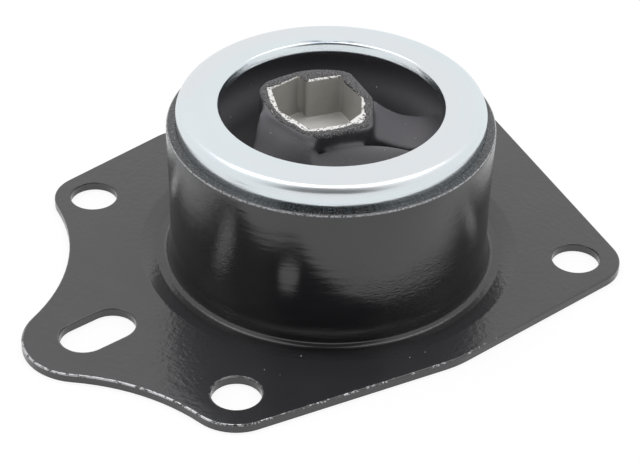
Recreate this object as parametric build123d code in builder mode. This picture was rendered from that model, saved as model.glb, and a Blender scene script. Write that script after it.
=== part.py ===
from build123d import *
from math import acos, atan2, cos, degrees, hypot, radians, sin, sqrt
import os

os.makedirs("parts", exist_ok=True)

# Engine mount: a rubber element in a pressed steel can, with an aluminium core in its middle.
# The origin is on the can's axis, level with the underside of the plate. +Z is up.
# The photograph looks along +Y, with +X to the right.

# Pressed steel sheet
sheet = 2.5
edge_roll = 0.45

# Mounting holes for M12 bolts, and the slot that takes up the tolerance
bolt_hole = 13.0
left_hole = (-66.4, 20.2)
front_hole = (-22.2, -65.4)
right_hole = (67.7, -4.1)
slot_middle = (-59.45, -41.1)
slot_angle = 40.7
slot_travel = 8.5

# Ears of the plate
left_ear = 11.0
slot_ear = 16.0
slot_ear_middle = (-63.0, -44.0)
front_ear = 12.7
right_ear = 12.0
scallop = 57.0

# Bends in the straight sides of the plate
front_bend = 30.0
front_bend_middle = (17.0, -24.7)
back_corner = 10.0
back_corner_middle = (36.6, 67.8)
back_bend = 10.0
back_bend_middle = (-43.5, 45.0)

# Drawn can
can_radius = 43.2
can_wall = 2.0
can_height = 43.2
rim_swell = 0.55
rim_depth = 2.6
rim_round = 0.8
foot_fillet = 4.0
groove_depth = 1.1
groove_width = 5.2
draw_radius = 4.4
plate_land = 1.0

# Plated sleeve, pressed into the can, with its top turned inward
press_clearance = 0.0
sleeve_wall = 2.0
sleeve_foot = 5.0
ring_height = 48.5
ring_round = 2.75
opening_radius = 29.6
lip_round = 2.5
lip_skirt = 0.5

# Aluminium core with a six-sided pocket, named by the pocket's corners
core_foot = 7.0
core_sink = 0.3
core_wall = 1.8
pocket_left = (-16.2, 6.1)
pocket_back_left = (-9.2, 12.4)
pocket_back_right = (2.6, 13.4)
pocket_right = (7.9, 2.6)
pocket_front_right = (7.9, -9.0)
pocket_front = (-5.2, -13.3)
pocket_front_left = (-13.8, -4.6)
pocket_depth = 11.6
pocket_chamfer = 4.2
pocket_corner = 0.8
pocket_rib = 2.2
pocket_rib_foot = (-6.9, 9.9)
core_bolt = 13.0
core_bolt_middle = (-3.6, -3.6)

# Rubber element, bonded to the sleeve and to the core
bond = 0.0
skin = 1.7
skin_foot = 7.0
skin_chamfer = 0.6
skin_gap = 0.55
core_skin = 1.5
core_skin_round = 0.7
leg_width = 16.6
leg_height = 26.0
leg_drop = 11.0
leg_fall = 1.2
leg_edge_round = 0.8
right_root_drop = 5.0
left_root_drop = 1.6
leg_fall_run = 12.0
leg_steepness = 0.85
leg_slope = 0.06
right_leg_middle = (-4.2, -0.4)
right_leg_angle = 8.5
right_leg_flare = 3.2
leg_flare_start = 13.7
leg_flare_run = 9.0
left_leg_middle = (-10.2, -3.0)
left_leg_angle = 256.0
left_leg_flare = 1.4
valley = 1.6
bumper_clearance = 0.4
bumper_fall = 2.2
bumper_crown = (8.5, -13.5)
bumper_right = (22.0, -15.8)
bumper_left_reach = 13.2
bumper_round = 2.4
pad_drop = 9.9
pad_rise = 2.0
pad_thickness = 9.6
pad_shoulder_run = 0.57
pad_shoulder_drop = 1.0
pad_lead = 3.0
pad_start = 18.0
pad_end = 213.0
stop_start = 176.0
stop_thickness = 13.2

# Derived sizes
sleeve_radius = can_radius - can_wall - press_clearance
sleeve_bore = sleeve_radius - sleeve_wall
rubber_radius = sleeve_bore - bond
skin_bore = rubber_radius - skin
skin_top = ring_height - ring_round - skin_chamfer - skin_gap
groove_radius = can_radius + foot_fillet
groove_level = sheet - groove_depth
groove_edge = groove_radius + groove_width
plate_opening = groove_edge + plate_land
rim_radius = can_radius + rim_swell
core_top = ring_height - core_sink
pocket_floor = core_top - pocket_depth
leg_top = ring_height - leg_drop
leg_under = leg_top - leg_height
bumper_top = ring_height - lip_round - lip_skirt - bumper_clearance
pad_crest = ring_height - pad_drop


# The direction, in degrees, from one point in plan to another
def bearing(start, end):
    return degrees(atan2(end[1] - start[1], end[0] - start[0]))


# A point in plan, so far out from a corner in one direction
def out_from(corner_point, angle, distance):
    x = corner_point[0] + distance * cos(radians(angle))
    y = corner_point[1] + distance * sin(radians(angle))
    return (x, y)


# The core's skin on its right wall, and on its wall between the front and left corners
right_wall_angle = bearing(pocket_front_right, pocket_right) - 90
left_wall_angle = bearing(pocket_front_left, pocket_front) - 90
right_wall_middle = out_from(pocket_right, right_wall_angle, core_wall + core_skin)
left_wall_middle = out_from(pocket_front_left, left_wall_angle, core_wall + core_skin)


# A point in plan, from a leg's middle: so far along the leg, and so far to its left
def beside_leg(middle, angle, along, aside):
    turn = radians(angle)
    x = middle[0] + along * cos(turn) - aside * sin(turn)
    y = middle[1] + along * sin(turn) + aside * cos(turn)
    return (x, y)


# The outward direction, in degrees, of the line that touches two round corners
def tangent_angle(one, one_radius, two, two_radius):
    across = hypot(two[0] - one[0], two[1] - one[1])
    heading = atan2(two[1] - one[1], two[0] - one[0])
    return degrees(heading - acos((one_radius - two_radius) / across))


# The middle of the hollow arc that touches two ears from outside
def scallop_middle(one, one_radius, two, two_radius, hollow):
    across = hypot(two[0] - one[0], two[1] - one[1])
    reach_one = hollow + one_radius
    reach_two = hollow + two_radius
    along = (reach_one**2 - reach_two**2 + across**2) / (2 * across)
    out = sqrt(reach_one**2 - along**2)
    ux = (two[0] - one[0]) / across
    uy = (two[1] - one[1]) / across
    return (one[0] + along * ux + out * uy, one[1] + along * uy - out * ux)


# One convex corner of the outline, from one outward direction to the next
def corner(middle, radius, start, end):
    return CenterArc(middle, radius, start, (end - start) % 360)


# Plate outline: rounded corners joined by straight sides and two hollow sides
side_a = tangent_angle(right_hole, right_ear, back_corner_middle, back_corner)
side_b = tangent_angle(back_corner_middle, back_corner, back_bend_middle, back_bend)
side_c = tangent_angle(back_bend_middle, back_bend, left_hole, left_ear)
side_d = tangent_angle(front_hole, front_ear, front_bend_middle, front_bend)
side_e = tangent_angle(front_bend_middle, front_bend, right_hole, right_ear)
left_hollow = scallop_middle(left_hole, left_ear, slot_ear_middle, slot_ear, scallop)
front_hollow = scallop_middle(slot_ear_middle, slot_ear, front_hole, front_ear, scallop)

with BuildSketch() as outline:
    with BuildLine():
        right_arc = corner(right_hole, right_ear, side_e, side_a)
        back_arc = corner(back_corner_middle, back_corner, side_a, side_b)
        bend_arc = corner(back_bend_middle, back_bend, side_b, side_c)
        left_arc = corner(left_hole, left_ear, side_c, bearing(left_hole, left_hollow))
        slot_arc = corner(
            slot_ear_middle,
            slot_ear,
            bearing(slot_ear_middle, left_hollow),
            bearing(slot_ear_middle, front_hollow),
        )
        front_arc = corner(front_hole, front_ear, bearing(front_hole, front_hollow), side_d)
        belly_arc = corner(front_bend_middle, front_bend, side_d, side_e)
        Line(right_arc @ 1, back_arc @ 0)
        Line(back_arc @ 1, bend_arc @ 0)
        Line(bend_arc @ 1, left_arc @ 0)
        RadiusArc(left_arc @ 1, slot_arc @ 0, scallop)
        RadiusArc(slot_arc @ 1, front_arc @ 0, scallop)
        Line(front_arc @ 1, belly_arc @ 0)
        Line(belly_arc @ 1, right_arc @ 0)
    make_face()

# Bracket: the plate is blanked, pierced and drawn up into the can
with BuildPart() as bracket:
    add(outline.sketch)
    extrude(amount=sheet)
    fillet(bracket.edges().filter_by_position(Axis.Z, sheet, sheet), radius=edge_roll)
    with BuildSketch(Plane.XY) as piercings:
        with Locations(left_hole, front_hole, right_hole):
            Circle(bolt_hole / 2)
        with Locations(Location((*slot_middle, 0), (0, 0, slot_angle))):
            SlotCenterToCenter(slot_travel, bolt_hole)
    extrude(amount=sheet, mode=Mode.SUBTRACT)
    pierced = bracket.edges(Select.LAST).filter_by_position(Axis.Z, sheet, sheet)
    fillet(pierced, radius=edge_roll)
    with BuildSketch(Plane.XY) as opening:
        Circle(plate_opening)
    extrude(amount=sheet, mode=Mode.SUBTRACT)
    with BuildSketch(Plane.XZ) as can_section:
        with BuildLine():
            inside = can_radius - can_wall
            Line((plate_opening, 0), (plate_opening, sheet))
            Line((plate_opening, sheet), (groove_edge, sheet))
            Spline((groove_edge, sheet), (groove_radius, groove_level), tangents=((-1, 0), (-1, 0)))
            RadiusArc((groove_radius, groove_level), (can_radius, groove_level + foot_fillet), foot_fillet)
            Line((can_radius, groove_level + foot_fillet), (can_radius, can_height - 2 * rim_depth))
            Line((can_radius, can_height - 2 * rim_depth), (rim_radius, can_height - rim_depth))
            Line((rim_radius, can_height - rim_depth), (rim_radius, can_height - rim_round))
            RadiusArc((rim_radius, can_height - rim_round), (rim_radius - rim_round, can_height), -rim_round)
            Line((rim_radius - rim_round, can_height), (inside, can_height))
            Line((inside, can_height), (inside, draw_radius))
            RadiusArc((inside, draw_radius), (inside + draw_radius, 0), -draw_radius)
            Line((inside + draw_radius, 0), (plate_opening, 0))
        make_face()
    revolve(axis=Axis.Z)
bracket.part.label = "bracket"

# Sleeve: a pressed cup without a floor, its top turned inward and rolled down round the opening
with BuildPart() as sleeve:
    with BuildSketch(Plane.XZ) as sleeve_section:
        with BuildLine():
            under = ring_height - sleeve_wall
            shoulder = ring_height - ring_round
            lip = ring_height - lip_round
            lip_end = lip - lip_skirt
            lip_back = opening_radius + sleeve_wall
            roll = opening_radius + lip_round
            Line((sleeve_bore, sleeve_foot), (sleeve_radius, sleeve_foot))
            Line((sleeve_radius, sleeve_foot), (sleeve_radius, shoulder))
            RadiusArc((sleeve_radius, shoulder), (sleeve_radius - ring_round, ring_height), -ring_round)
            Line((sleeve_radius - ring_round, ring_height), (roll, ring_height))
            RadiusArc((roll, ring_height), (opening_radius, lip), -lip_round)
            Line((opening_radius, lip), (opening_radius, lip_end))
            Line((opening_radius, lip_end), (lip_back, lip_end))
            Line((lip_back, lip_end), (lip_back, lip))
            RadiusArc((lip_back, lip), (roll, under), lip_round - sleeve_wall)
            Line((roll, under), (sleeve_radius - ring_round, under))
            RadiusArc((sleeve_radius - ring_round, under), (sleeve_bore, shoulder), ring_round - sleeve_wall)
            Line((sleeve_bore, shoulder), (sleeve_bore, sleeve_foot))
        make_face()
    revolve(axis=Axis.Z)
sleeve.part.label = "sleeve"

# Core: a prism round the pocket, with one rib in the pocket's back wall and a bolt hole in its floor
with BuildSketch() as pocket_plan:
    with BuildLine():
        Polyline(
            pocket_left,
            pocket_back_left,
            pocket_back_right,
            pocket_right,
            pocket_front_right,
            pocket_front,
            pocket_front_left,
            close=True,
        )
    make_face()

with BuildSketch() as core_plan:
    add(pocket_plan.sketch)
    offset(amount=core_wall, kind=Kind.ARC)

with BuildSketch(Plane.XY.offset(pocket_floor)) as pocket_outline:
    add(pocket_plan.sketch)
    chamfer(pocket_outline.vertices().sort_by_distance(pocket_front_right)[0], length=pocket_chamfer)
    with BuildLine():
        rib_start = (pocket_rib_foot[0] - pocket_rib / 2, pocket_rib_foot[1] + 2 * pocket_rib)
        rib_end = (pocket_back_right[0], pocket_back_right[1] + pocket_rib)
        Polyline(rib_start, pocket_rib_foot, pocket_back_right, rib_end, close=True)
    make_face(mode=Mode.SUBTRACT)
    fillet(pocket_outline.vertices(), radius=pocket_corner)

with BuildPart() as core:
    with BuildSketch(Plane.XY.offset(core_foot)):
        add(core_plan.sketch)
    extrude(amount=core_top - core_foot)
    with BuildSketch(Plane.XY.offset(pocket_floor)):
        add(pocket_outline.sketch)
    extrude(amount=pocket_depth, mode=Mode.SUBTRACT)
    with Locations((*core_bolt_middle, pocket_floor)):
        Hole(core_bolt / 2)
core.part.label = "core"

# One leg: straight in plan, flared at one side of its root, its top falling away in a hollow curve
def rubber_leg(middle, angle, wall_middle, wall_angle, root, flare_side, flare):
    away = (cos(radians(wall_angle)), sin(radians(wall_angle)), 0)
    across = (sin(radians(wall_angle)), -cos(radians(wall_angle)), 0)
    along = (cos(radians(angle)), sin(radians(angle)), 0)
    reach = 2 * skin_bore
    end = leg_top - leg_fall * reach / skin_bore
    waist = flare_side * leg_width / 2
    foot = waist + flare_side * flare
    flare_end = leg_flare_start + leg_flare_run

    # How far a point lies from the leg's middle line, towards the flare
    def beside(point):
        return flare_side * (along[0] * (point.Y - middle[1]) - along[1] * (point.X - middle[0]))

    with BuildPart() as leg:
        with BuildSketch(Plane(origin=(*middle, leg_under), x_dir=along, z_dir=(0, 0, 1))):
            with BuildLine():
                Polyline((leg_flare_start, foot), (0, foot), (0, -waist), (reach, -waist))
                Polyline((reach, -waist), (reach, waist), (flare_end, waist))
                TangentArc((flare_end, waist), (leg_flare_start, foot), tangent=(-1, 0))
            make_face()
        extrude(amount=ring_height)
        with BuildSketch(Plane(origin=(*wall_middle, 0), x_dir=away, z_dir=across)):
            with BuildLine():
                Line((-reach, leg_under), (-reach, root))
                Line((-reach, root), (0, root))
                Spline((0, root), (leg_fall_run, leg_top), tangents=((1, -leg_steepness), (1, -leg_slope)))
                Line((leg_fall_run, leg_top), (reach, end))
                Line((reach, end), (reach, leg_under))
                Line((reach, leg_under), (-reach, leg_under))
            make_face()
        extrude(amount=reach, both=True, mode=Mode.INTERSECT)
        top_edges = leg.edges().filter_by(lambda edge: edge.center().Z > leg_under + leg_height / 2)
        side_edges = top_edges.filter_by(lambda edge: abs(edge.tangent_at(0.5).dot(Vector(*away))) > 0.5)
        fillet(side_edges.filter_by(lambda edge: beside(edge.center()) < 0), radius=leg_edge_round)
    return leg.part


# Bumper: a block on the skin that stops the core, with its top falling away under the ring
bumper_left = beside_leg(left_leg_middle, left_leg_angle, bumper_left_reach, leg_width / 2 + valley)
with BuildPart() as bumper:
    with BuildSketch(Plane.XY.offset(leg_under)):
        with BuildLine():
            face = Spline(bumper_left, bumper_crown, bumper_right)
            run = 2 * can_radius / hypot(*bumper_right)
            right_end = (bumper_right[0] * run, bumper_right[1] * run)
            left_end = beside_leg(bumper_left, left_leg_angle, 2 * can_radius, 0)
            Polyline(face @ 1, right_end, left_end, face @ 0)
        make_face()
        Circle(skin_bore + skin / 2, mode=Mode.INTERSECT)
    extrude(amount=ring_height - leg_under)
    slope = Plane(origin=(*bumper_crown, bumper_top), z_dir=(0, -bumper_fall, skin_bore))
    split(bisect_by=slope, keep=Keep.BOTTOM)
    crest = bumper.edges().filter_by(GeomType.BSPLINE).sort_by(Axis.Z)[-1]
    fillet(crest, radius=bumper_round)
bumper.part.label = "bumper"

# Rubber: skin on the sleeve, back pad with its side stop, bumper, and the core's skin on two legs
with BuildPart() as rubber:
    with BuildSketch(Plane.XY.offset(core_foot + core_skin)):
        add(core_plan.sketch)
        offset(amount=core_skin, kind=Kind.ARC)
    extrude(amount=core_top - core_foot - core_skin)
    fillet(rubber.edges().group_by(Axis.Z)[-1], radius=core_skin_round)
    right_root = ring_height - right_root_drop
    left_root = ring_height - left_root_drop
    right_wall = (right_wall_middle, right_wall_angle, right_root)
    left_wall = (left_wall_middle, left_wall_angle, left_root)
    add(rubber_leg(right_leg_middle, right_leg_angle, *right_wall, -1, right_leg_flare))
    add(rubber_leg(left_leg_middle, left_leg_angle, *left_wall, 1, left_leg_flare))
    add(bumper.part)
    with BuildSketch(Plane.XY):
        Circle(skin_bore + skin / 2)
    extrude(amount=2 * ring_height, mode=Mode.INTERSECT)
    with BuildSketch(Plane.XZ) as skin_section:
        with BuildLine():
            Polyline(
                (rubber_radius, skin_foot),
                (rubber_radius, skin_top),
                (rubber_radius - skin_chamfer, skin_top),
                (skin_bore, skin_top - skin),
                (skin_bore, skin_foot + skin),
                (rubber_radius - skin_chamfer, skin_foot),
                close=True,
            )
        make_face()
    revolve(axis=Axis.Z)
    back_pad = (pad_start, pad_end, pad_thickness)
    side_stop = (stop_start, pad_end, stop_thickness)
    for start, end, thickness in (back_pad, side_stop):
        pad_plane = Plane(
            origin=(0, 0, 0),
            x_dir=(cos(radians(start)), sin(radians(start)), 0),
            z_dir=(sin(radians(start)), -cos(radians(start)), 0),
        )
        with BuildSketch(pad_plane):
            with BuildLine():
                pad_bore = skin_bore - thickness
                root = skin_bore + skin / 2
                Line((root, pad_crest + pad_rise), (skin_bore, pad_crest + pad_rise))
                Spline(
                    (skin_bore, pad_crest + pad_rise),
                    (skin_bore - pad_shoulder_run * pad_thickness, pad_crest - pad_shoulder_drop),
                    (pad_bore, pad_crest - pad_thickness),
                    tangents=((-1, -0.4), (0, -1)),
                )
                Line((pad_bore, pad_crest - pad_thickness), (pad_bore, leg_under + pad_lead))
                Line((pad_bore, leg_under + pad_lead), (root, leg_under))
                Line((root, leg_under), (root, pad_crest + pad_rise))
            make_face()
        revolve(axis=Axis.Z, revolution_arc=end - start)
    with BuildSketch(Plane.XY.offset(core_foot)):
        add(core_plan.sketch)
    extrude(amount=core_top - core_foot, mode=Mode.SUBTRACT)
rubber.part.label = "rubber"

export_step(bracket.part, "parts/bracket.step")
export_step(sleeve.part, "parts/sleeve.step")
export_step(core.part, "parts/core.step")
export_step(rubber.part, "parts/rubber.step")
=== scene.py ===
# %% [markdown]
# # An engine mount, from pressed steel to rubber
# The real part is a black pressed bracket. Its drawn can holds a zinc-plated sleeve,
# and rubber inside the sleeve carries an aluminium core.
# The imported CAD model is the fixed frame: every piece made here goes where the CAD says.
# Sizes of pieces are in millimetres, and `mm` turns them into metres. Lengths inside a
# material are in metres, and a pair says where an effect starts and where it is full.

# %% Load the fixed frame
import math
import bpy
import bmesh
from mathutils import Matrix, Vector, noise
from mathutils.bvhtree import BVHTree


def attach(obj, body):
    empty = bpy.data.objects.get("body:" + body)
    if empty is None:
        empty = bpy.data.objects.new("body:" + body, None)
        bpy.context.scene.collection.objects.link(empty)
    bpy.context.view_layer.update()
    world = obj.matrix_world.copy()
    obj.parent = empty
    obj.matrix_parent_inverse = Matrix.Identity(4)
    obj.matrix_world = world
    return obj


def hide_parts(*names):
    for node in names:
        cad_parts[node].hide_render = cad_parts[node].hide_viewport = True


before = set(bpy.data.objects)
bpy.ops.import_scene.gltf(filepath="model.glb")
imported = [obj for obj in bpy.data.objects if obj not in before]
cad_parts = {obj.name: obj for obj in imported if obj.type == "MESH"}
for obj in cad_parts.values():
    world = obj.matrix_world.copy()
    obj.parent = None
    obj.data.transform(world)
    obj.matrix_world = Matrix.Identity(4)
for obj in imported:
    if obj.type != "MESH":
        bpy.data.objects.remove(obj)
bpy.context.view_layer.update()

mm = 0.001
bpy.context.scene.view_settings.view_transform = "Standard"

# %% [markdown]
# ## Camera
# A product photograph like this one is taken from far off with a long lens, so the can's
# sides stay nearly parallel. The numbers come from fitting the three round holes, the
# ring and the foot of the can, so they are set once here and nothing else moves the view.

# %% Camera
photo_width = 640
photo_height = 460
sensor_width = 36.0
focal_pixels = 2329.09
camera_distance = 0.64149
camera_elevation = 0.628175
camera_pitch = -0.0087405
camera_yaw = -0.0045205
camera_roll = 0.0217232


def make_camera():
    height = math.sin(camera_elevation)
    place = camera_distance * Vector((0, -math.cos(camera_elevation), height))
    down = camera_elevation + camera_pitch
    ahead = Vector((
        math.sin(camera_yaw) * math.cos(down),
        math.cos(camera_yaw) * math.cos(down),
        -math.sin(down),
    ))
    level = ahead.cross(Vector((0, 0, 1))).normalized()
    upward = level.cross(ahead)
    c, s = math.cos(camera_roll), math.sin(camera_roll)
    right = c * level + s * upward
    up = -s * level + c * upward
    data = bpy.data.cameras.new("photo_camera")
    data.sensor_width = sensor_width
    data.lens = focal_pixels / photo_width * sensor_width
    data.clip_start = 0.01
    camera = bpy.data.objects.new("photo_camera", data)
    turn = Matrix((right, up, -ahead)).transposed().to_4x4()
    camera.matrix_world = Matrix.Translation(place) @ turn
    bpy.context.scene.collection.objects.link(camera)
    bpy.context.scene.camera = camera
    return camera


camera = make_camera()
print("camera lens", round(camera.data.lens, 2), "mm")

# %% [markdown]
# ## Helpers for node trees
# A finish is easier to read when each node is one line. These helpers add a node, set its
# sockets by name and join it to others. The shader nodes for sums, noise and vectors work
# in Geometry Nodes too, so the same helpers serve the lathe and the grains further down.

# %% Adding and joining nodes
def feed(tree, socket, value):
    """Joins a socket to another socket, or gives it a fixed value."""
    if isinstance(value, bpy.types.NodeSocket):
        tree.links.new(value, socket)
    else:
        socket.default_value = value


def give(tree, node, **settings):
    """Sets a node's properties by name, and its sockets by name with _ for a space."""
    for name, value in settings.items():
        if hasattr(node, name):
            setattr(node, name, value)
        else:
            feed(tree, node.inputs[name.replace("_", " ")], value)
    return node


def add(tree, kind, **settings):
    return give(tree, tree.nodes.new(kind), **settings)


def grey(level):
    return (level, level, level, 1)


print("a grey for a colour socket:", grey(0.8))

# %% Sums, steps and vectors
def math_node(tree, operation, *values):
    made = add(tree, "ShaderNodeMath", operation=operation)
    for socket, value in zip(made.inputs, values):
        feed(tree, socket, value)
    return made.outputs[0]


def times(tree, first, second):
    return math_node(tree, "MULTIPLY", first, second)


def scaled(tree, value, factor, offset):
    """value * factor + offset."""
    return math_node(tree, "MULTIPLY_ADD", value, factor, offset)


def step(tree, value, low, high):
    """0 below low, 1 above high, smooth between them."""
    made = add(
        tree, "ShaderNodeMapRange", interpolation_type="SMOOTHSTEP",
        Value=value, From_Min=low, From_Max=high,
    )
    return made.outputs["Result"]


def falling(tree, value, low, high):
    """1 below low, 0 above high, smooth between them."""
    return step(tree, times(tree, value, -1.0), -high, -low)


def split(tree, vector):
    """The x, y and z of a vector."""
    return add(tree, "ShaderNodeSeparateXYZ", Vector=vector).outputs


def vector_of(tree, x, y, z):
    return add(tree, "ShaderNodeCombineXYZ", X=x, Y=y, Z=z).outputs[0]


def axis_distance(tree, x, y):
    return math_node(tree, "SQRT", math_node(tree, "ADD", times(tree, x, x), times(tree, y, y)))


def length_round(tree, x, y, radius):
    """How far round the axis a point lies, measured along a circle."""
    return times(tree, math_node(tree, "ARCTAN2", y, x), radius)


print("node helpers are ready")

# %% Colours, noise and materials
def blend_colour(tree, factor, first, second):
    made = add(tree, "ShaderNodeMix", data_type="RGBA")
    colours = [s for s in made.inputs if s.type == "RGBA"]
    feed(tree, made.inputs["Factor"], factor)
    feed(tree, colours[0], first)
    feed(tree, colours[1], second)
    return [s for s in made.outputs if s.type == "RGBA"][0]


def shaded(colour, factor):
    """A colour made lighter or darker."""
    return [v * factor for v in colour[:3]] + [1]


def noise_at(tree, place, scale, detail, roughness=0.5):
    made = add(
        tree, "ShaderNodeTexNoise",
        Vector=place, Scale=scale, Detail=detail, Roughness=roughness,
    )
    return made.outputs["Fac"]


def bumps(tree, height, distance):
    made = add(tree, "ShaderNodeBump", Height=height, Strength=1.0, Distance=distance)
    return made.outputs["Normal"]


def empty_material(name):
    material = bpy.data.materials.new(name)
    material.use_nodes = True
    material.node_tree.nodes.clear()
    return material, material.node_tree


def new_material(name):
    """A material with one plain shader, and the place on the object that it shades."""
    material, tree = empty_material(name)
    shader = tree.nodes.new("ShaderNodeBsdfPrincipled")
    output = tree.nodes.new("ShaderNodeOutputMaterial")
    tree.links.new(shader.outputs["BSDF"], output.inputs["Surface"])
    place = tree.nodes.new("ShaderNodeTexCoord").outputs["Object"]
    return material, tree, shader, place


print("a grey made darker:", [round(v, 2) for v in shaded(grey(0.8), 0.5)])

# %% [markdown]
# ## Floor, background and light
# The photograph is a product shot on white. A real white sweep would turn grey in places,
# so the floor and the world here glow white to the camera and to reflections, and light
# the part with less than that. The floor keeps a faint shadow.
# One large softbox hangs behind and above the part, and the room in front of it, round
# the camera, is dark: that gives the ring its bright flats and its dark band.

# %% Shared by the floor, the world and the dark side
def new_piece(name, mesh):
    mesh.name = name
    piece = bpy.data.objects.new(name, mesh)
    bpy.context.scene.collection.objects.link(piece)
    return piece


def seen_directly(tree):
    """1 for rays from the camera, from a reflection or through glass, 0 for the others."""
    path = tree.nodes.new("ShaderNodeLightPath").outputs
    seen = math_node(tree, "MAXIMUM", path["Is Camera Ray"], path["Is Glossy Ray"])
    return math_node(tree, "MAXIMUM", seen, path["Is Transmission Ray"])


def mix_to_output(tree, factor, first, second, kind="ShaderNodeOutputMaterial"):
    """The tree's result: the first shader where the factor is 0, the second where it is 1."""
    mix, output = tree.nodes.new("ShaderNodeMixShader"), tree.nodes.new(kind)
    for value, socket in zip((factor, first.outputs[0], second.outputs[0]), mix.inputs):
        tree.links.new(value, socket)
    tree.links.new(mix.outputs[0], output.inputs["Surface"])


print("room helpers are ready")

# %% Floor
def make_floor(half, paper_level, glow_strength, shade_level):
    mesh = bpy.data.meshes.new("floor")
    corners = [(-half, -half, 0), (half, -half, 0), (half, half, 0), (-half, half, 0)]
    mesh.from_pydata(corners, [], [(0, 1, 2, 3)])
    floor = new_piece("floor", mesh)
    material, tree = empty_material("white_floor")
    paper = add(tree, "ShaderNodeBsdfDiffuse", Color=grey(paper_level))
    glow = add(tree, "ShaderNodeEmission", Color=grey(1.0), Strength=glow_strength)
    shade = add(tree, "ShaderNodeBsdfDiffuse", Color=grey(shade_level))
    both = tree.nodes.new("ShaderNodeAddShader")
    tree.links.new(glow.outputs[0], both.inputs[0])
    tree.links.new(shade.outputs[0], both.inputs[1])
    mix_to_output(tree, seen_directly(tree), paper, both)
    mesh.materials.append(material)
    print(floor.name, 2 * half, "m wide")


make_floor(half=6.0, paper_level=0.8, glow_strength=0.86, shade_level=0.2)

# %% World
def make_world(fill):
    world = bpy.data.worlds.new("white_room")
    bpy.context.scene.world = world
    world.use_nodes = True
    tree = world.node_tree
    tree.nodes.clear()
    soft = add(tree, "ShaderNodeBackground", Color=grey(1.0), Strength=fill)
    white = add(tree, "ShaderNodeBackground", Color=grey(1.0), Strength=1.0)
    mix_to_output(tree, seen_directly(tree), soft, white, "ShaderNodeOutputWorld")
    print(world.name, "lights the part with", fill)


make_world(fill=0.68)

# %% Softbox
def softbox(name, azimuth, elevation, distance, width, height, radiance):
    """A lamp of one even brightness, aimed at the part."""
    data = bpy.data.lights.new(name, "AREA")
    data.shape = "RECTANGLE"
    data.size = width
    data.size_y = height
    data.energy = radiance * math.pi * width * height
    lamp = bpy.data.objects.new(name, data)
    a, e = math.radians(azimuth), math.radians(elevation)
    out = Vector((math.cos(a) * math.cos(e), math.sin(a) * math.cos(e), math.sin(e)))
    lamp.location = out * distance
    lamp.rotation_euler = out.to_track_quat("Z", "Y").to_euler()
    bpy.context.scene.collection.objects.link(lamp)
    print(name, round(data.energy, 2), "W")


softbox(
    "top_softbox", azimuth=90, elevation=79, distance=1.4,
    width=1.9, height=0.62, radiance=1.5,
)

# %% [markdown]
# The dark part of the room is a piece of a sphere on the camera's side. Reflections and
# soft light meet it, but the camera, shadows and rays through glass don't. So the ring
# mirrors a dark band and the front is a little less lit, and it casts no shadow.
# It fades out at its sides, because a real dark room has no sharp end.

# %% Dark side of the room
dark_radius = 3.0
dark_columns, dark_rows = 48, 24
dark_glow = 0.16


def make_dark_side(low, high, half_width, fade):
    mesh = bpy.data.meshes.new("dark_side")
    points, faces = [], []
    for i in range(dark_rows + 1):
        e = math.radians(low + (high - low) * i / dark_rows)
        for j in range(dark_columns + 1):
            a = math.radians(-90 - half_width + 2 * half_width * j / dark_columns)
            points.append((
                dark_radius * math.cos(a) * math.cos(e),
                dark_radius * math.sin(a) * math.cos(e),
                dark_radius * math.sin(e),
            ))
    for i in range(dark_rows):
        for j in range(dark_columns):
            k = i * (dark_columns + 1) + j
            faces.append((k, k + 1, k + dark_columns + 2, k + dark_columns + 1))
    mesh.from_pydata(points, [], faces)
    dark = new_piece("dark_side", mesh)
    material, tree = empty_material("dark_room")
    x, y, _ = split(tree, tree.nodes.new("ShaderNodeTexCoord").outputs["Object"])
    aside = math_node(tree, "ABSOLUTE", x)
    angle = math_node(tree, "ARCTAN2", aside, times(tree, y, -1.0))
    gone = step(tree, angle, math.radians(half_width - fade), math.radians(half_width))
    dim = add(tree, "ShaderNodeEmission", Color=grey(1.0), Strength=dark_glow)
    mix_to_output(tree, gone, dim, tree.nodes.new("ShaderNodeBsdfTransparent"))
    mesh.materials.append(material)
    dark.visible_camera = False
    dark.visible_shadow = False
    dark.visible_transmission = False
    print(dark.name, len(faces), "faces")


make_dark_side(low=22, high=90, half_width=52, fade=24)

# %% [markdown]
# ## Meshes that take gloss well
# Painted and plated steel show every fault of a mesh in their reflections. Each piece here
# gets even rows of faces, edges marked sharp only where the real edge is sharp, and normals
# weighted by face size, so that flats stay flat beside a rounded edge.

# %% Mesh helpers
same_point = 2e-6
face_weight = 80


def shape_of(mesh, weld=False):
    """An editable copy. A CAD mesh repeats its points at each face, so those are welded."""
    shape = bmesh.new()
    shape.from_mesh(mesh)
    if weld:
        bmesh.ops.remove_doubles(shape, verts=shape.verts, dist=same_point)
    return shape


def write_smooth(shape, mesh, sharp):
    """Into a mesh: smooth faces that point outwards, with edges above an angle kept sharp."""
    bmesh.ops.recalc_face_normals(shape, faces=shape.faces)
    for face in shape.faces:
        face.smooth = True
        face.material_index = 0
    for edge in shape.edges:
        edge.smooth = edge.is_manifold and edge.calc_face_angle(0) < math.radians(sharp)
    shape.to_mesh(mesh)
    shape.free()
    return mesh


def flatten(piece):
    """The modifiers' result becomes the piece's own mesh."""
    bpy.context.view_layer.update()
    result = piece.evaluated_get(bpy.context.evaluated_depsgraph_get())
    made = bpy.data.meshes.new_from_object(result)
    made.name = piece.name
    piece.modifiers.clear()
    piece.data = made
    return piece


def weigh_normals(piece):
    weigh = piece.modifiers.new("flats stay flat", "WEIGHTED_NORMAL")
    weigh.keep_sharp = True
    weigh.weight = face_weight
    return flatten(piece)


def open_edges(mesh):
    shape = shape_of(mesh)
    count = sum(len(edge.link_faces) == 1 for edge in shape.edges)
    shape.free()
    return count


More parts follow.
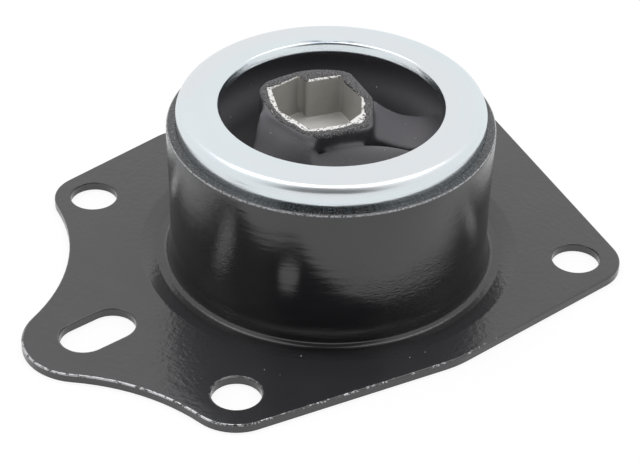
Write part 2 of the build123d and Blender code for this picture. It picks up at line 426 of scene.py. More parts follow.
def dress(piece, material, slot, *nodes):
    """A finished piece gets its material, rides on the one body and stands for CAD nodes.
    """
    piece.data.materials.clear()
    piece.data.materials.append(material)
    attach(piece, "root")
    if nodes:
        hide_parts(*nodes)
    faces = len(piece.data.polygons)
    print(piece.name, faces, "faces", open_edges(piece.data), "open edges")
    return piece


cad_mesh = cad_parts["bracket"].data
print("the CAD bracket has", open_edges(cad_mesh), "open edges before it is welded")

# %% Rows of points round a piece
rows_round = 288


def close_rows(shape, rows):
    """Faces between rows of points, each row closed round on itself."""
    count = len(rows[0])
    for low, high in zip(rows, rows[1:]):
        for i in range(count):
            j = (i + 1) % count
            shape.faces.new((low[i], low[j], high[j], high[i]))


def turned(shape, section, count):
    """Rings of a section (r, z) round the axis."""
    rings = []
    for r, z in section:
        ring = []
        for i in range(count):
            a = 2 * math.pi * i / count
            ring.append(shape.verts.new((r * mm * math.cos(a), r * mm * math.sin(a), z * mm)))
        rings.append(ring)
    close_rows(shape, rings)
    return rings[0], rings[-1]


def ring_edges(ring):
    edges = []
    for i, vert in enumerate(ring):
        other = ring[(i + 1) % len(ring)]
        edges.append(next(e for e in vert.link_edges if e.other_vert(vert) is other))
    return edges


print("round pieces have", rows_round, "rows, one each", 360 / rows_round, "degrees")

# %% [markdown]
# ## Black paint
# The bracket is dipped in black paint. Up close the film has a fine orange peel, and on
# the drawn can the tool has left faint lines round it. Both could be modelled, but they
# are finer than the mesh, so they are bumps, at two scales. The peel lies in patches and
# is stronger at the part's sides.

# %% Paint relief
paint_radius = 0.0432
line_stretch, peel_stretch = 7.0, 2.2
peel_aside = (0.014, 0.034)
peel_patches = (0.52, 0.68)
peel_least, peel_more, peel_more_aside = 0.12, 2.4, 0.20
wave_height, line_height = 0.5, 1.5
paint_depth = 0.00004


def paint_relief(tree, x, y, height, place):
    """Orange peel in patches, soft waves, and lines that run round the can."""
    around = length_round(tree, x, y, paint_radius)
    flat = axis_distance(tree, x, y)
    stretched = vector_of(tree, around, flat, times(tree, height, line_stretch))
    grain = vector_of(tree, around, flat, times(tree, height, peel_stretch))
    peel = noise_at(tree, grain, scale=850.0, detail=3.0, roughness=0.55)
    wave = noise_at(tree, place, scale=110.0, detail=1.0)
    lines = noise_at(tree, stretched, scale=60.0, detail=5.0, roughness=0.6)
    where = noise_at(tree, place, scale=26.0, detail=3.0)
    side = step(tree, math_node(tree, "ABSOLUTE", x), *peel_aside)
    patchy = step(tree, scaled(tree, side, peel_more_aside, where), *peel_patches)
    total = times(tree, peel, scaled(tree, patchy, peel_more, peel_least))
    total = scaled(tree, wave, wave_height, total)
    total = scaled(tree, lines, line_height, total)
    return bumps(tree, total, paint_depth), peel, wave, flat


print("paint relief", paint_depth * 1000, "mm deep at full height")

# %% Paint colours, wear, painted shade and a painted highlight
paint_low, paint_high = (0.034, 0.034, 0.038, 1), (0.044, 0.044, 0.048, 1)
can_painted_shade = (0.013, 0.013, 0.0145, 1)
rim_silver = (0.34, 0.38, 0.41, 1)
rim_corner_highlight = (0.55, 0.57, 0.59, 1)
dash_steel = (0.62, 0.62, 0.64, 1)
groove_shade_radii = (0.0445, 0.050)
rim_heights, rim_speckle, rim_amount = (0.0416, 0.0420), (0.50, 0.66), 0.55
corner_heights, corner_radii, corner_gaps = (0.0418, 0.0421), (0.0433, 0.0435), (0.40, 0.52)
dash_front, dash_left = (-0.052, -0.035), (-0.035, -0.012)
dash_level, dash_level_left, dash_edge = 0.53, -0.09, 0.06
dash_metal = 0.5
paint_roughness, peel_roughness = 0.10, 0.10
paint_ior = 1.69


def black_paint():
    material, tree, shader, place = new_material("black_coat")
    x, y, height = split(tree, place)
    relief, peel, wave, flat = paint_relief(tree, x, y, height, place)
    tone = blend_colour(tree, wave, paint_low, paint_high)
    # The can and the groove round its foot are painted darker than the plate: painted shade.
    tone = blend_colour(tree, step(tree, flat, *groove_shade_radii), can_painted_shade, tone)
    fine = noise_at(tree, place, scale=2600.0, detail=3.0, roughness=0.7)

    # Silver speckle on the can's rim, where metal shows through the thin paint.
    rim = times(tree, step(tree, height, *rim_heights), step(tree, fine, *rim_speckle))
    tone = blend_colour(tree, times(tree, rim, rim_amount), tone, rim_silver)

    # A thin broken line painted bright on the rim's outer corner: a painted highlight.
    corner = times(tree, step(tree, height, *corner_heights), step(tree, flat, *corner_radii))
    corner = times(tree, corner, step(tree, fine, *corner_gaps))
    tone = blend_colour(tree, corner, tone, rim_corner_highlight)

    # Broken dashes of bright steel colour on the plate's rolled edge, most of them in front.
    dash_weight = add(tree, "ShaderNodeAttribute", attribute_name="edge").outputs["Fac"]
    dash = noise_at(tree, place, scale=700.0, detail=4.0, roughness=0.75)
    level = scaled(tree, falling(tree, x, *dash_left), dash_level_left, dash_level)
    picked_out = step(tree, math_node(tree, "SUBTRACT", dash, level), 0.0, dash_edge)
    picked_out = times(tree, picked_out, times(tree, falling(tree, y, *dash_front), dash_weight))
    tone = blend_colour(tree, picked_out, tone, dash_steel)

    give(
        tree, shader, Base_Color=tone, Metallic=times(tree, picked_out, dash_metal),
        Roughness=scaled(tree, peel, peel_roughness, paint_roughness),
        IOR=paint_ior, Normal=relief,
    )
    return material


black_coat = black_paint()
print(black_coat.name, len(black_coat.node_tree.nodes), "nodes")

# %% [markdown]
# ## Bracket
# One sheet of steel is blanked, pierced and drawn up into the can, so it is one mesh too.
# It could be a copy of the CAD mesh, but that has long thin faces which spoil a gloss.
# So the outline and the holes are read from the CAD solid's underside. Each loop is carried
# up the sheet's edge and rolled over at the top, and the can is rings round the axis.

# %% Sections in the plane of the axis
def arc(middle_r, middle_z, radius, start, end, steps):
    """Points (r, z) of an arc, by its angles in degrees."""
    turn = [math.radians(start + (end - start) * i / steps) for i in range(steps + 1)]
    return [(middle_r + radius * math.cos(t), middle_z + radius * math.sin(t)) for t in turn]


def rounded_path(corners, steps=8):
    """A path through corners (r, z, rounding), with an arc of that radius in each corner."""
    nearly_straight = 1.56
    points = [corners[0][:2]]
    for before, here, after in zip(corners, corners[1:], corners[2:]):
        middle = Vector(here[:2])
        back = (Vector(before[:2]) - middle).normalized()
        on = (Vector(after[:2]) - middle).normalized()
        half = math.acos(max(-1.0, min(1.0, back.dot(on)))) / 2
        if here[2] <= 0 or half > nearly_straight:
            points.append(here[:2])
            continue
        reach = here[2] / math.tan(half)
        hub = middle + (back + on).normalized() * (here[2] / math.sin(half))
        one, two = middle + back * reach - hub, middle + on * reach - hub
        sweep = one.angle_signed(two)
        for i in range(steps + 1):
            turn = -sweep * i / steps
            c, s = math.cos(turn), math.sin(turn)
            points.append((hub.x + one.x * c - one.y * s, hub.y + one.x * s + one.y * c))
    points.append(corners[-1][:2])
    return points


def subdivided(points, longest):
    """Extra points, so that no stretch of a section is longer than the given length."""
    result = [points[0]]
    for a, b in zip(points, points[1:]):
        parts = max(1, math.ceil(math.dist(a, b) / longest))
        for i in range(1, parts + 1):
            result.append((a[0] + (b[0] - a[0]) * i / parts, a[1] + (b[1] - a[1]) * i / parts))
    return result


print("a quarter circle in 2 steps:", [[round(v, 2) for v in p] for p in arc(0, 0, 1, 0, 90, 2)])

# %% Can section
sheet = 2.5
can_radius, can_wall, can_height = 43.2, 2.0, 42.4
can_low, can_middle, swell_start = 6.5, 19.0, 39.5
rim_radius, rim_round, rim_inner_round = 43.75, 0.8, 0.15
foot_radius, foot_round = 44.3, 1.5
groove_foot, groove_edge, groove_level = 47.0, 51.6, 1.35
draw_radius = 4.4
land_over, land_under = 1.8, 0.6
can_longest = 3.0


def can_section():
    """From the plate's top over the groove, up the can, over its rim and down inside."""
    inside = can_radius - can_wall
    outer = rounded_path([
        (groove_edge + land_over, sheet, 0),
        (groove_edge, sheet, 3.0),
        (groove_foot, groove_level, 2.0),
        (foot_radius, groove_level, foot_round),
        (can_radius, can_low, 14.0),
        (can_radius, can_middle, 60.0),
        (rim_radius, swell_start, 40.0),
        (rim_radius, can_height, rim_round),
        (inside, can_height, rim_inner_round),
        (inside, 0.0, 0),
    ])
    # The last corner only gives the wall's direction: the drawn radius takes its place.
    drawn = arc(inside + draw_radius, draw_radius, draw_radius, 180, 270, 10)
    return subdivided(outer[:-1], can_longest) + drawn + [(inside + draw_radius + land_under, 0.0)]


print("can section has", len(can_section()), "points")

# %% Outline loops from the CAD solid
same_level = 1e-6


def cad_loops(node, level):
    """Closed loops where the flat face at one height ends, as points in plan."""
    shape = shape_of(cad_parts[node].data, weld=True)

    def level_face(face):
        return all(abs(v.co.z - level) < same_level for v in face.verts)

    # Seen from above the underside's edges have the solid on their right, so each point
    # is kept with the one before it and a loop is walked backwards.
    following = {}
    for face in shape.faces:
        if not level_face(face):
            continue
        for loop in face.loops:
            others = [f for f in loop.edge.link_faces if f is not face]
            if not any(level_face(f) for f in others):
                start, end = loop.vert, loop.link_loop_next.vert
                following[end.index] = (start.index, start.co.copy())
    loops = []
    while following:
        here, points = next(iter(following)), []
        while here in following:
            here, place = following.pop(here)
            points.append((place.x, place.y))
        loops.append(points)
    shape.free()
    return loops


def widest(loop):
    """How far a loop gets from the axis."""
    return max(math.hypot(x, y) for x, y in loop)


plate_loops = [loop for loop in cad_loops("bracket", 0.0) if widest(loop) > groove_foot * mm]
outline = max(plate_loops, key=widest)
print("plate loops", [len(loop) for loop in plate_loops])

# %% Bracket mesh
edge_roll, edge_break, edge_middle = 0.45, 0.12, 1.0
dash_roll_share = 0.7
outline_dashes, hole_dashes = 1.0, 0.3
steel_sharp = 42


def strip_along(shape, loop, section, dash_amount):
    """A strip of faces along a closed loop. Its section is (distance into the sheet, height)."""
    least_cosine = 0.4
    inward = []
    for i, here in enumerate(loop):
        before, here, after = Vector(loop[i - 1]), Vector(here), Vector(loop[(i + 1) % len(loop)])
        one, two = (here - before).normalized(), (after - here).normalized()
        left_one, left_two = Vector((-one.y, one.x)), Vector((-two.y, two.x))
        bisector = (left_one + left_two).normalized()
        inward.append(bisector / max(least_cosine, bisector.dot(left_one)))
    dash_weight = shape.verts.layers.float["edge"]
    rows = []
    for inset, height in section:
        rows.append([
            shape.verts.new((x + side.x * inset * mm, y + side.y * inset * mm, height * mm))
            for (x, y), side in zip(loop, inward)
        ])
        # The dashes lie on the roll's upper part, and not on the flat beside it.
        rolled = sheet - dash_roll_share * edge_roll < height and inset <= edge_roll
        for vert in rows[-1]:
            vert[dash_weight] = dash_amount if rolled else 0.0
    close_rows(shape, rows)
    return rows[0], rows[-1]


def make_bracket():
    shape = bmesh.new()
    shape.verts.layers.float.new("edge")
    section = [(edge_break, 0.0), (0.0, edge_break), (0.0, edge_middle)]
    section += arc(edge_roll, sheet - edge_roll, edge_roll, 180, 90, 5)
    section += [(edge_roll + edge_break, sheet)]
    under, over = [], []
    for loop in plate_loops:
        dash_amount = outline_dashes if loop is outline else hole_dashes
        low, high = strip_along(shape, loop, section, dash_amount)
        under += ring_edges(low)
        over += ring_edges(high)
    outer, inner = turned(shape, can_section(), rows_round)
    over += ring_edges(outer)
    under += ring_edges(inner)
    bmesh.ops.triangle_fill(shape, edges=over, use_beauty=True, normal=(0, 0, 1))
    bmesh.ops.triangle_fill(shape, edges=under, use_beauty=True, normal=(0, 0, -1))
    mesh = write_smooth(shape, bpy.data.meshes.new("bracket_shown"), steel_sharp)
    return weigh_normals(new_piece("bracket_shown", mesh))


bracket = dress(make_bracket(), black_coat, "black_coat", "bracket")

# %% [markdown]
# ## Zinc-plated sleeve
# The sleeve is pressed into the can, and its top is turned inward: that is the bright ring.
# It is a turned shape, so a Geometry Nodes lathe makes it: a grid whose columns are the
# section's points and whose rows go round the axis. A screw modifier could do it too, but
# here the same nodes also push the wall in and out by a few hundredths of a millimetre,
# so that the reflections waver as they do on pressed sheet.

# %% Geometry Nodes helpers
def new_group(name, result, **inputs):
    """A Geometry Nodes tree with its sockets: the tree, what it is given, and its result."""
    tree = bpy.data.node_groups.new(name, "GeometryNodeTree")
    tree.is_modifier = True
    for socket, kind in inputs.items():
        tree.interface.new_socket(name=socket, in_out="INPUT", socket_type="NodeSocket" + kind)
    tree.interface.new_socket(name=result, in_out="OUTPUT", socket_type="NodeSocketGeometry")
    given = tree.nodes.new("NodeGroupInput").outputs
    return tree, given, tree.nodes.new("NodeGroupOutput").inputs[result]


def finish_result(tree, geometry, finish, result):
    """The last nodes: what was made becomes real mesh and gets its material."""
    real = add(tree, "GeometryNodeRealizeInstances", Geometry=geometry)
    paint = add(tree, "GeometryNodeSetMaterial", Geometry=real.outputs[0], Material=finish)
    tree.links.new(paint.outputs[0], result)


def run_tree(piece, tree, **inputs):
    """Adds the tree as a modifier, sets its inputs by identifier and makes the result the mesh."""
    modifier = piece.modifiers.new(tree.name, "NODES")
    modifier.node_group = tree
    identifiers = {
        item.name: item.identifier for item in tree.interface.items_tree
        if item.item_type == "SOCKET" and item.in_out == "INPUT"
    }
    for name, value in inputs.items():
        modifier[identifiers[name]] = value
    return flatten(piece)


print("Geometry Nodes helpers are ready")

# %% Geometry Nodes lathe
waves_round, waves_down = 3.0, 40.0
seam_gap = 1e-6


def lathe_tree():
    tree, given, result = new_group(
        "lathe", "Turned", Section="Geometry", Rows="Int", Unevenness="Float", Finish="Material",
    )
    size = add(tree, "GeometryNodeAttributeDomainSize", Geometry=given["Section"])
    rows = math_node(tree, "ADD", given["Rows"], 1.0)
    grid = add(
        tree, "GeometryNodeMeshGrid", Size_X=1.0, Size_Y=1.0,
        Vertices_X=size.outputs["Point Count"], Vertices_Y=rows,
    )
    index = tree.nodes.new("GeometryNodeInputIndex").outputs["Index"]
    middle = math_node(tree, "ADD", index, 0.5)
    column = math_node(tree, "FLOOR", math_node(tree, "DIVIDE", middle, rows))
    row = math_node(tree, "SUBTRACT", index, times(tree, column, rows))
    sample = add(
        tree, "GeometryNodeSampleIndex", data_type="FLOAT_VECTOR", Geometry=given["Section"],
        Value=tree.nodes.new("GeometryNodeInputPosition").outputs[0], Index=column,
    )
    section_r, _, section_z = split(tree, sample.outputs[0])
    turn = math_node(tree, "DIVIDE", times(tree, row, 2 * math.pi), given["Rows"])
    c, s = math_node(tree, "COSINE", turn), math_node(tree, "SINE", turn)

    # The noise is read on a circle, so that it meets itself after one turn.
    around = vector_of(tree, c, s, times(tree, section_z, waves_down))
    rough = math_node(tree, "SUBTRACT", noise_at(tree, around, scale=waves_round, detail=1.0), 0.5)
    push = times(tree, rough, given["Unevenness"])
    radius = math_node(tree, "ADD", section_r, push)
    place = vector_of(tree, times(tree, radius, c), times(tree, radius, s), section_z)
    move = add(
        tree, "GeometryNodeSetPosition", Geometry=grid.outputs["Mesh"], Position=place,
    )
    weld = add(
        tree, "GeometryNodeMergeByDistance", Geometry=move.outputs[0], Distance=seam_gap,
    )
    finish_result(tree, weld.outputs[0], given["Finish"], result)
    return tree


lathe = lathe_tree()
print(lathe.name, len(lathe.nodes), "nodes")

# %% Sleeve section
sleeve_radius, sleeve_wall, sleeve_foot = 41.2, 2.0, 5.0
ring_height, ring_round = 48.5, 2.75
opening_radius = 29.6
lip_start, lip_round, lip_depth, lip_height = 30.2, 1.0, 2.25, 3.0
lip_in, lip_out = 0.35, 0.3
cut_round = 0.1
sleeve_longest = 4.0


def sleeve_section():
    """Up the outside, over the ring, down the lip, and back inside to where it started."""
    bore = sleeve_radius - sleeve_wall
    under = ring_height - sleeve_wall
    lip_low = ring_height - lip_height
    lip_back = opening_radius + sleeve_wall
    return subdivided(rounded_path([
        (bore + 1.0, sleeve_foot, 0),
        (sleeve_radius, sleeve_foot, cut_round),
        (sleeve_radius, ring_height, ring_round),
        (lip_start, ring_height, lip_round),
        (opening_radius - lip_in, ring_height - lip_depth, 0.25),
        (opening_radius + lip_out, lip_low, 0.2),
        (lip_back, lip_low, 0.2),
        (lip_back, under, 0.8),
        (bore, under, ring_round - sleeve_wall),
        (bore, sleeve_foot, cut_round),
        (bore + 1.0, sleeve_foot, 0),
    ], steps=12), sleeve_longest)


print("sleeve section has", len(sleeve_section()), "points")

# %% [markdown]
# Zinc plate is bright and slightly blue, with fine streaks that run round the ring. Black
# paint from the can reaches a ragged line at the ring's foot. At the back of the lip, where it
# mirrors the rubber, a dark streaked colour is painted: a painted reflection, and not a shape.

# %% Zinc finish
zinc_radius, streak_stretch, zinc_depth = 0.04, 0.09, 0.000030
zinc_low, zinc_high = (0.69, 0.755, 0.79, 1), (0.74, 0.80, 0.825, 1)
zinc_grey = (0.735, 0.765, 0.79, 1)
zinc_painted_reflection = (0.30, 0.34, 0.42, 1)
spray_black, spray_speck = (0.02, 0.021, 0.023, 1), (0.26, 0.30, 0.34, 1)
spray_heights, spray_drift, spray_ragged = (0.0440, 0.0445), 0.0012, 0.0034
speck_share, speck_amount = (0.50, 0.62), 0.6
reflection_back, reflection_heights = (0.0294, 0.0305), (0.0474, 0.0480)
reflection_radii, reflection_streaks = (0.0311, 0.0318), (0.44, 0.62)
grey_share = (0.42, 0.62)
roll_radii, roll_heights, roll_roughness = (0.0390, 0.0402), (0.0450, 0.0465), 0.13
metal_painted, metal_gained = 0.3, 0.7
zinc_roughness, cloud_roughness, streak_roughness = 0.10, 0.10, 0.06


def zinc_plate():
    material, tree, shader, place = new_material("zinc_plate")
    x, y, height = split(tree, place)
    flat = axis_distance(tree, x, y)
    around = length_round(tree, x, y, zinc_radius)
    along = vector_of(tree, times(tree, around, streak_stretch), flat, height)
    cloud = noise_at(tree, place, scale=55.0, detail=4.0)
    streak = noise_at(tree, along, scale=1500.0, detail=3.0, roughness=0.6)
    bright = blend_colour(tree, cloud, zinc_low, zinc_high)

    # Black paint from the can, sprayed up to a ragged line round the ring's foot.
    ragged = noise_at(tree, place, scale=1500.0, detail=4.0, roughness=0.75)
    edge = scaled(tree, noise_at(tree, place, scale=90.0, detail=2.0), spray_drift, height)
    edge = scaled(tree, ragged, spray_ragged, edge)
    clean = step(tree, edge, *spray_heights)
    speck = times(tree, step(tree, ragged, *speck_share), speck_amount)
    dark = blend_colour(tree, speck, spray_black, spray_speck)

    # Greyer streaks, and a painted reflection, dark and streaked, at the back of the lip.
    tint = noise_at(tree, along, scale=120.0, detail=2.0)
    bright = blend_colour(tree, step(tree, tint, *grey_share), bright, zinc_grey)
    back = times(tree, step(tree, y, *reflection_back), step(tree, height, *reflection_heights))
    inside = times(tree, falling(tree, flat, *reflection_radii), back)
    painted_reflection = times(tree, inside, step(tree, streak, *reflection_streaks))
    bright = blend_colour(tree, painted_reflection, bright, zinc_painted_reflection)

    # The rolled outer edge is duller than the flat.
    rough = scaled(tree, cloud, cloud_roughness, zinc_roughness)
    rough = scaled(tree, streak, streak_roughness, rough)
    roll = times(tree, step(tree, flat, *roll_radii), step(tree, height, *roll_heights))
    rough = scaled(tree, roll, roll_roughness, rough)

    give(
        tree, shader, Base_Color=blend_colour(tree, clean, dark, bright),
        Metallic=scaled(tree, clean, metal_gained, metal_painted), Roughness=rough,
        Normal=bumps(tree, streak, zinc_depth),
    )
    return material


zinc = zinc_plate()
print(zinc.name, len(zinc.node_tree.nodes), "nodes")

# %% Sleeve mesh
sleeve_unevenness = 0.00006


def section_piece(name, section):
    mesh = bpy.data.meshes.new(name)
    points = [(r * mm, 0, z * mm) for r, z in section]
    mesh.from_pydata(points, [(i, i + 1) for i in range(len(points) - 1)], [])
    return new_piece(name, mesh)


def make_sleeve(finish):
    piece = section_piece("sleeve_shown", sleeve_section())
    run_tree(piece, lathe, Rows=rows_round, Unevenness=sleeve_unevenness, Finish=finish)
    write_smooth(shape_of(piece.data), piece.data, steel_sharp)
    return weigh_normals(piece)


sleeve = dress(make_sleeve(zinc), zinc, "zinc_plate", "sleeve")

# %% [markdown]
# ## Rubber element
# The rubber is moulded against the sleeve and the core in one shot, so all its inner edges
# are round. Rounding each edge would need a long list of them, so the CAD solid is rebuilt
# on an even grid and eased a little, which rounds them all alike and keeps the form.
# Its finish is matt with a fine grain. Towards the back it is painted lighter, a painted
# light, and its steep sides round the core are painted darker, a painted shade.

# %% Rubber finish
painted_light_back = (-0.0215, -0.0125)
painted_light_gain, side_painted_shade = 2.8, 0.85
core_near, steep_normals = (0.020, 0.026), (0.15, 0.75)
grain_share, grain_colour = (0.50, 0.60), (0.42, 0.41, 0.42, 1)
rubber_roughness, rubber_cloud_roughness = 0.50, 0.12
rubber_waves, rubber_depth = 2.0, 0.00003


def moulded_rubber(name, low, high, speckle):
    """Rubber with a fine grain, painted lighter towards the back and darker on steep sides near
    the core, as painted light and shade; speckle adds pale grains.
    """
    material, tree, shader, place = new_material(name)
    x, y, _ = split(tree, place)
    cloud = noise_at(tree, place, scale=130.0, detail=6.0, roughness=0.6)
    fine = noise_at(tree, place, scale=2300.0, detail=3.0, roughness=0.7)
    tone = blend_colour(tree, cloud, low, high)
    # Painted light: the back is painted lighter, and the front, under the ring's front lip, stays
    # darker.
    lit_tone = blend_colour(tree, cloud, shaded(low, painted_light_gain), shaded(high, painted_light_gain))
    tone = blend_colour(tree, step(tree, y, *painted_light_back), tone, lit_tone)

    # The steep sides round the core are painted darker than the tops: painted shade.
    facing = split(tree, tree.nodes.new("ShaderNodeTexCoord").outputs["Normal"])["Z"]
    near = falling(tree, axis_distance(tree, x, y), *core_near)
    picked_out = times(tree, near, falling(tree, facing, *steep_normals))
    tone = blend_colour(tree, picked_out, tone, shaded(low, side_painted_shade))
    grains = times(tree, step(tree, fine, *grain_share), speckle)
    tone = blend_colour(tree, grains, tone, grain_colour)

    give(
        tree, shader, Base_Color=tone,
        Roughness=scaled(tree, cloud, rubber_cloud_roughness, rubber_roughness),
        Normal=bumps(tree, scaled(tree, cloud, rubber_waves, fine), rubber_depth),
    )
    return material


rubber_low, rubber_high = (0.048, 0.046, 0.051, 1), (0.064, 0.062, 0.068, 1)
soft_black = moulded_rubber("rubber", rubber_low, rubber_high, speckle=0.05)
print(soft_black.name, len(soft_black.node_tree.nodes), "nodes")

# %% Rubber mesh
rubber_sharp = 50
rubber_grid, rubber_rounds = 0.75, 8


def smooth_copy(node, name, sharp):
    """A merged copy of a CAD node, shaded smooth."""
    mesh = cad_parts[node].data.copy()
    mesh.materials.clear()
    write_smooth(shape_of(mesh, weld=True), mesh, sharp)
    if "custom_normal" in mesh.attributes:
        mesh.attributes.remove(mesh.attributes["custom_normal"])
    return weigh_normals(new_piece(name, mesh))


def softened(piece, grid, rounds):
    """The piece rebuilt on an even grid and eased, so that the moulded edges come out round."""
    rebuild = piece.modifiers.new("rebuild", "REMESH")
    rebuild.mode = "VOXEL"
    rebuild.voxel_size = grid * mm
    ease = piece.modifiers.new("ease", "SMOOTH")
    ease.factor = 0.5
    ease.iterations = rounds
    flatten(piece).data.shade_smooth()
    return piece


rubber = softened(smooth_copy("rubber", "rubber_shown", rubber_sharp), rubber_grid, rubber_rounds)
dress(rubber, soft_black, "rubber", "rubber")

# %% [markdown]
# ## Aluminium core
# The core is a cast aluminium insert with a six-sided pocket. Its flats and its pocket are
# plain, so the CAD mesh is used as it is, and only the finish differs by height: grey cast
# walls, a floor painted far lighter as painted light, and a rim torn bright with dark flakes left
# on it.

# %% Core finish
cast_low, cast_high = (0.40, 0.39, 0.365, 1), (0.52, 0.51, 0.48, 1)
floor_low, floor_high = (0.92, 0.91, 0.88, 1), (1.0, 0.99, 0.97, 1)
flake_dark, rim_bright = (0.09, 0.09, 0.09, 1), (0.92, 0.91, 0.89, 1)
floor_heights, top_heights, flake_share = (0.0367, 0.0371), (0.0478, 0.0481), (0.40, 0.45)
cast_metal, top_metal = 0.2, 0.25
cast_roughness, cast_cloud_roughness = 0.42, 0.1
cast_depth = 0.00005
core_sharp = 35


def cast_aluminium():
    """Grey cast walls, a floor painted brighter as painted light, and a torn bright rim with dark
    flakes left on it.
    """
    material, tree, shader, place = new_material("cast_aluminium")
    height = split(tree, place)["Z"]
    cloud = noise_at(tree, place, scale=300.0, detail=5.0)
    fine = noise_at(tree, place, scale=2600.0, detail=3.0, roughness=0.7)
    torn = noise_at(tree, place, scale=1300.0, detail=3.0, roughness=0.7)
    walls = blend_colour(tree, cloud, cast_low, cast_high)
    # The pocket's floor is painted near white: painted light.
    floor_painted_light = blend_colour(tree, fine, floor_low, floor_high)
    dull = blend_colour(tree, falling(tree, height, *floor_heights), walls, floor_painted_light)
    top = step(tree, height, *top_heights)
    bright = blend_colour(tree, step(tree, torn, *flake_share), flake_dark, rim_bright)
    give(
        tree, shader, Base_Color=blend_colour(tree, top, dull, bright),
        Metallic=scaled(tree, top, top_metal, cast_metal),
        Roughness=scaled(tree, cloud, cast_cloud_roughness, cast_roughness),
        Normal=bumps(tree, fine, cast_depth),
    )
    return material


core = smooth_copy("core", "core_shown", core_sharp)
dress(core, cast_aluminium(), "cast_aluminium", "core")

# %% [markdown]
# ## Flash on the core's rim
# The mould leaves a thin skin of rubber over the core's top. It is torn back to the pocket
# in places, which leaves a ragged bright rim of metal. A picture could fake the tear, but
# the skin stands proud of the metal, so it is a thin closed ring of its own. Its inner and
# outer edges are outlines in millimetres, made ragged by noise.

# %% Flash sizes
core_top = 48.2
flash_middle = (-4.0, 0.0)
flash_edge = [
    (-17.5, 6.7), (-17.1, 4.4), (-16.5, 1.3), (-16.0, -1.0), (-14.9, -3.7), (-14.0, -5.6),
    (-13.0, -7.2), (-11.7, -9.2), (-9.8, -11.0), (-8.3, -12.4), (-6.9, -13.9), (-5.6, -14.1),
    (-4.4, -14.0), (-2.0, -13.5), (0.4, -13.0), (2.8, -12.0), (4.7, -11.1), (5.6, -9.9),
    (6.6, -10.2), (7.6, -9.9), (8.6, -8.6), (9.1, -5.7), (8.7, -3.9), (8.3, -2.4), (8.9, 0.1),
    (8.4, 2.5), (7.7, 3.3), (7.0, 4.2), (6.6, 5.3), (5.5, 7.1), (4.4, 8.3), (2.9, 11.4),
    (2.3, 13.8), (0.0, 13.3), (-2.4, 12.5), (-4.9, 11.9), (-6.2, 11.3), (-6.5, 9.7),
    (-8.2, 11.2), (-8.6, 12.6), (-9.6, 12.5), (-11.2, 11.1), (-12.8, 9.7), (-14.7, 7.9),
    (-16.4, 7.2),
]
flash_outline = [
    (-19.3, 5.8), (-18.8, 7.8), (-17.5, 9.9), (-14.3, 12.5), (-9.9, 15.2), (-7.5, 16.2),
    (-3.2, 16.9), (0.0, 16.9), (3.4, 16.3), (4.9, 14.6), (6.9, 10.6), (8.6, 7.0), (10.3, 4.3),
    (10.9, 1.8), (11.0, -4.7), (10.8, -9.0), (9.6, -11.2), (6.4, -12.7), (2.8, -14.4),
    (-0.8, -15.9), (-4.3, -16.4), (-6.3, -15.8), (-8.7, -13.8), (-10.9, -11.7), (-13.4, -9.4),
    (-15.4, -6.8), (-17.2, -2.1), (-18.7, 2.0),
]
flash_points = 1500
flash_sharp = 60
tear_depth, edge_wander, skin_wander, skin_height = 0.34, 0.22, 0.07, 0.13
tear_grain, wander_grain, skin_grain = 1.9, 0.35, 0.8
hang_short, hang_long = 0.05, 0.35
hang_from, hang_to = 20, 57


def reach_at(closed, turn):
    """How far a ray from the flash's middle goes before it meets a closed outline, in mm."""
    tiny = 1e-9
    ray = Vector((math.cos(turn), math.sin(turn)))
    far = 0.0
    for i, here in enumerate(closed):
        a = Vector(here) - Vector(flash_middle)
        b = Vector(closed[(i + 1) % len(closed)]) - Vector(flash_middle)
        edge = b - a
        cross = ray.x * edge.y - ray.y * edge.x
        if abs(cross) < tiny:
            continue
        t = (a.x * edge.y - a.y * edge.x) / cross
        u = (a.x * ray.y - a.y * ray.x) / cross
        if t > 0 and -tiny <= u <= 1 + tiny:
            far = max(far, t)
    return far


print("flash reaches", round(reach_at(flash_outline, 0.0), 2), "mm to the right of its middle")

# %% Flash mesh
def flash_section(turn):
    """Points (reach, height) across the skin in one direction, from the tear outwards."""
    c, s = math.cos(turn), math.sin(turn)
    inner = reach_at(flash_edge, turn)
    x, y = inner * c, inner * s
    spot = Vector((x * tear_grain, y * tear_grain, 3.0))
    inner += tear_depth * noise.fractal(spot, 0.35, 2.1, 5)
    outer = reach_at(flash_outline, turn)
    spot = Vector((outer * c * wander_grain, outer * s * wander_grain, 11.0))
    outer += edge_wander * noise.noise(spot)
    lift = skin_wander * noise.noise(Vector((x * skin_grain, y * skin_grain, 7.0)))
    hang = hang_long if hang_from < math.degrees(turn) < hang_to else hang_short
    return (
        (inner + 0.10, core_top - hang),
        (inner, core_top + 0.02),
        (inner + 0.12, core_top + skin_height + lift),
        (0.5 * (inner + outer), core_top + skin_height + lift),
        (outer - 0.60, core_top + 0.07),
        (outer - 0.12, core_top - 0.25),
        (outer, core_top - 0.90),
    )


def make_flash():
    shape = bmesh.new()
    sections = []
    for i in range(flash_points):
        turn = 2 * math.pi * i / flash_points
        c, s = math.cos(turn), math.sin(turn)
        sections.append([
            shape.verts.new((
                (flash_middle[0] + reach * c) * mm, (flash_middle[1] + reach * s) * mm, z * mm,
            ))
            for reach, z in flash_section(turn)
        ])
    rings = list(zip(*sections))
    close_rows(shape, rings + [rings[0]])
    mesh = write_smooth(shape, bpy.data.meshes.new("core_flash"), flash_sharp)
    return new_piece("core_flash", mesh)


flash_low, flash_high = (0.014, 0.0135, 0.0145, 1), (0.025, 0.0245, 0.026, 1)
flash_grey = moulded_rubber("flash_grey", flash_low, flash_high, speckle=0.5)
dress(make_flash(), flash_grey, "rubber")

# %% [markdown]
# ## Grains of dust
# A few pale grains lie on the rubber and on the plate. Scattering them at random would put
# them in other places, so each is placed by looking from the camera to where it shows, and
# it sits on the surface that the look meets first.

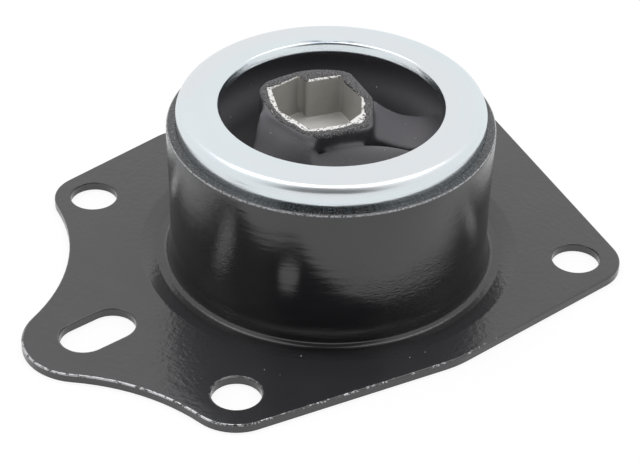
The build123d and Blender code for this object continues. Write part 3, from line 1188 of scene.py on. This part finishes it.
# %% Where the grains lie
grain_spots = [
    (376.8, 86.8, 0.27), (230.4, 117.2, 0.24), (251.0, 85.1, 0.15), (270.8, 133.0, 0.17),
    (405.6, 124.3, 0.17), (415.1, 138.4, 0.17), (366.4, 60.3, 0.15), (301.0, 356.0, 0.19),
    (264.4, 369.7, 0.15), (409.8, 357.5, 0.15), (425.1, 352.1, 0.14), (385.0, 150.0, 0.10),
    (296.0, 138.0, 0.10), (280.0, 375.0, 0.10),
]


def surface_of(piece):
    mesh = piece.data
    return BVHTree.FromPolygons(
        [v.co for v in mesh.vertices], [p.vertices for p in mesh.polygons],
    )


def where_seen(pixel_x, pixel_y, surfaces):
    """The first point of the surfaces on the camera's line through a pixel, if any."""
    turn = camera.matrix_world.to_3x3()
    ahead = Vector((pixel_x - photo_width / 2, photo_height / 2 - pixel_y, -focal_pixels))
    line = (turn @ ahead).normalized()
    start = camera.matrix_world.translation
    nearest, least = None, math.inf
    for surface in surfaces:
        place, _, _, far = surface.ray_cast(start, line)
        if place is not None and far < least:
            nearest, least = place, far
    return nearest


def grain_points(pieces):
    surfaces = [surface_of(piece) for piece in pieces]
    found = [(where_seen(x, y, surfaces), size) for x, y, size in grain_spots]
    found = [(place, size) for place, size in found if place is not None]
    mesh = bpy.data.meshes.new("grains")
    mesh.from_pydata([place for place, _ in found], [], [])
    sizes = mesh.attributes.new("size", "FLOAT", "POINT")
    for item, (_, size) in zip(sizes.data, found):
        item.value = size * mm
    return new_piece("dust_grains", mesh)


grains = grain_points([bracket, sleeve, rubber, core])
print("grains found", len(grains.data.vertices), "of", len(grain_spots))

# %% Geometry Nodes grains
grain_form = (1.0, 0.75, 0.6)
any_turn = (6.28, 6.28, 6.28)
grain_seed = 4
dust_low, dust_high = (0.75, 0.74, 0.73, 1), (0.98, 0.97, 0.95, 1)
dust_roughness = 0.7


def grain_tree():
    tree, given, result = new_group(
        "grains", "Grains", Points="Geometry", Seed="Int", Finish="Material",
    )
    ball = add(tree, "GeometryNodeMeshIcoSphere", Radius=1.0, Subdivisions=2)
    size = add(tree, "GeometryNodeInputNamedAttribute", data_type="FLOAT", Name="size")
    turn = add(tree, "FunctionNodeRandomValue", data_type="FLOAT_VECTOR", Seed=given["Seed"])
    turn.inputs[1].default_value = any_turn
    spread = add(
        tree, "ShaderNodeVectorMath", operation="SCALE",
        Vector=vector_of(tree, *grain_form), Scale=size.outputs["Attribute"],
    )
    place = add(
        tree, "GeometryNodeInstanceOnPoints", Points=given["Points"],
        Instance=ball.outputs["Mesh"], Rotation=turn.outputs["Value"], Scale=spread.outputs[0],
    )
    finish_result(tree, place.outputs[0], given["Finish"], result)
    return tree


def pale_dust():
    material, tree, shader, place = new_material("pale_dust")
    cloud = noise_at(tree, place, scale=4000.0, detail=2.0)
    tone = blend_colour(tree, cloud, dust_low, dust_high)
    give(tree, shader, Base_Color=tone, Roughness=dust_roughness)
    return material


dust = pale_dust()
dress(run_tree(grains, grain_tree(), Seed=grain_seed, Finish=dust), dust, None)

# %% [markdown]
# Blender adds looks, not size.

# %% Last update of the scene
bpy.context.view_layer.update()
